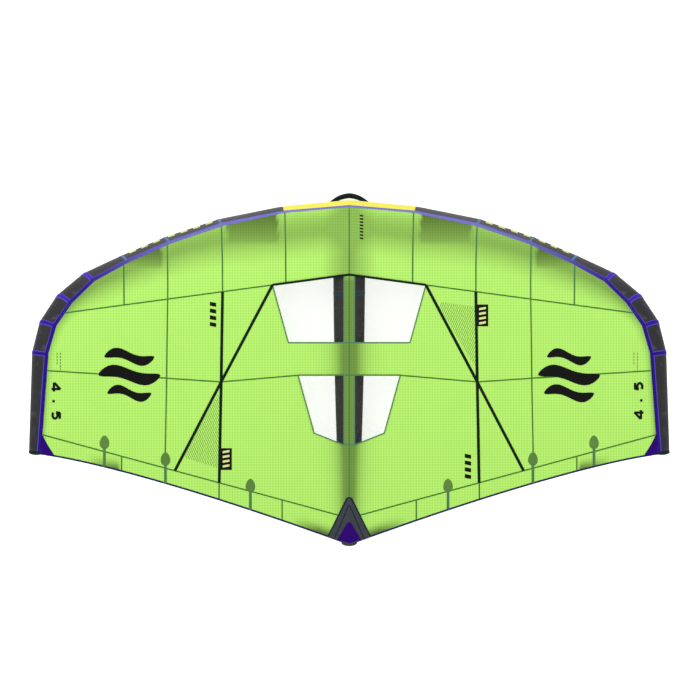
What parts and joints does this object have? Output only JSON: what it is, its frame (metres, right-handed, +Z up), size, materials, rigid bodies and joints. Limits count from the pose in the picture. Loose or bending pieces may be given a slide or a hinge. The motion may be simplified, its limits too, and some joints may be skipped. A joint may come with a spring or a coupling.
{
  "type": "wingfoil wing",
  "caption": "Inflatable hand-held wing with a curved leading edge tube, a centre strut with two grips, a ripstop canopy with four clear windows and battens at the trailing edge.",
  "frame": {"origin": "middle of the bounding box, on the ground the wing rests on", "axes": "+X to the wing's right along the span, +Y forward to the leading edge, +Z up, canopy side up"},
  "size_m": [3.23, 1.779, 0.5433],
  "materials": {
    "canopy_ripstop": "bright green ripstop sailcloth",
    "window_film": "clear flexible film",
    "dacron_yellow": "yellow woven polyester",
    "dacron_grey": "dark grey woven polyester",
    "bladder_film": "milky bladder film",
    "glass_fibre": "pale glass fibre",
    "moulded_black": "black moulded nylon",
    "grip_foam": "black foam grip over a tube",
    "webbing_black": "black webbing",
    "valve_rubber": "dark soft plastic",
    "zip_metal": "grey metal"
  },
  "bodies": {
    "wing": {"canopy_front_panel_left": "canopy_ripstop", "canopy_front_panel_right": "canopy_ripstop", "canopy_middle_panel_left": "canopy_ripstop", "canopy_middle_panel_right": "canopy_ripstop", "canopy_rear_panel_left": "canopy_ripstop", "canopy_rear_panel_right": "canopy_ripstop", "canopy_trailing_panel_left": "canopy_ripstop", "canopy_trailing_panel_right": "canopy_ripstop", "front_window_left": "window_film", "front_window_right": "window_film", "rear_window_left": "window_film", "rear_window_right": "window_film", "leading_edge_middle_panel": "dacron_yellow", "leading_edge_panel_1_left": "dacron_grey", "leading_edge_panel_1_right": "dacron_grey", "leading_edge_panel_2_left": "dacron_grey", "leading_edge_panel_2_right": "dacron_grey", "leading_edge_panel_3_left": "dacron_grey", "leading_edge_panel_3_right": "dacron_grey", "leading_edge_panel_4_left": "dacron_grey", "leading_edge_panel_4_right": "dacron_grey", "leading_edge_panel_5_left": "dacron_grey", "leading_edge_panel_5_right": "dacron_grey", "leading_edge_panel_6_left": "dacron_grey", "leading_edge_panel_6_right": "dacron_grey", "leading_edge_panel_7_left": "dacron_grey", "leading_edge_panel_7_right": "dacron_grey", "leading_edge_tip_left": "dacron_grey", "leading_edge_tip_right": "dacron_grey", "strut_front_casing": "dacron_grey", "strut_middle_casing": "dacron_grey", "strut_rear_casing": "dacron_grey", "leading_edge_bladder": "bladder_film", "strut_bladder": "bladder_film", "batten_1_left": "glass_fibre", "batten_1_right": "glass_fibre", "batten_2_left": "glass_fibre", "batten_2_right": "glass_fibre", "batten_3_left": "glass_fibre", "batten_3_right": "glass_fibre", "front_grip_front_bracket": "moulded_black", "front_grip_rear_bracket": "moulded_black", "rear_grip_front_bracket": "moulded_black", "rear_grip_rear_bracket": "moulded_black", "hose_clip_base": "moulded_black", "front_grip": "grip_foam", "rear_grip": "grip_foam", "nose_handle": "webbing_black", "bladder_zip": "webbing_black", "valve_body": "valve_rubber", "leading_edge_hose_fitting": "valve_rubber", "strut_hose_fitting": "valve_rubber", "air_hose": "valve_rubber"},
    "valve_cap": {"valve_cap": "moulded_black"},
    "valve_plug": {"valve_plug": "moulded_black"},
    "valve_poppet": {"valve_poppet": "valve_rubber"},
    "hose_clip_lever": {"hose_clip_lever": "moulded_black"},
    "zip_slider": {"zip_slider": "zip_metal"},
    "zip_pull": {"zip_pull": "zip_metal"}
  },
  "joints": [
    {"name": "valve_cap_hinge", "type": "hinge", "parent": "wing", "child": "valve_cap", "pos_m": [0.25356, 0.64189, 0.06132], "axis": [-0.9968, 0.0789, 0.0142], "range_deg": [0, 150]},
    {"name": "valve_plug_turn", "type": "hinge", "parent": "wing", "child": "valve_plug", "pos_m": [0.2552, 0.66623, 0.04154], "axis": [-0.0735, -0.8283, -0.5555], "range_deg": [0, 90]},
    {"name": "valve_poppet_press", "type": "slide", "parent": "valve_plug", "child": "valve_poppet", "axis": [0.0735, 0.8283, 0.5555], "range_m": [0, 0.004], "stiffness_N_per_m": 60},
    {"name": "hose_clip_lever_hinge", "type": "hinge", "parent": "wing", "child": "hose_clip_lever", "pos_m": [0.13495, 0.5658, 0.09663], "axis": [0.036, 0.799, -0.6003], "range_deg": [0, 75]},
    {"name": "zip_slider_travel", "type": "slide", "parent": "wing", "child": "zip_slider", "axis": [-0.9977, -0.0673, -0.0065], "range_m": [-0.028, 0.2]},
    {"name": "zip_pull_hinge", "type": "hinge", "parent": "zip_slider", "child": "zip_pull", "pos_m": [-0.08343, 0.67115, 0.03821], "axis": [-0.032, 0.5547, -0.8314], "range_deg": [-80, 80]}
  ]
}
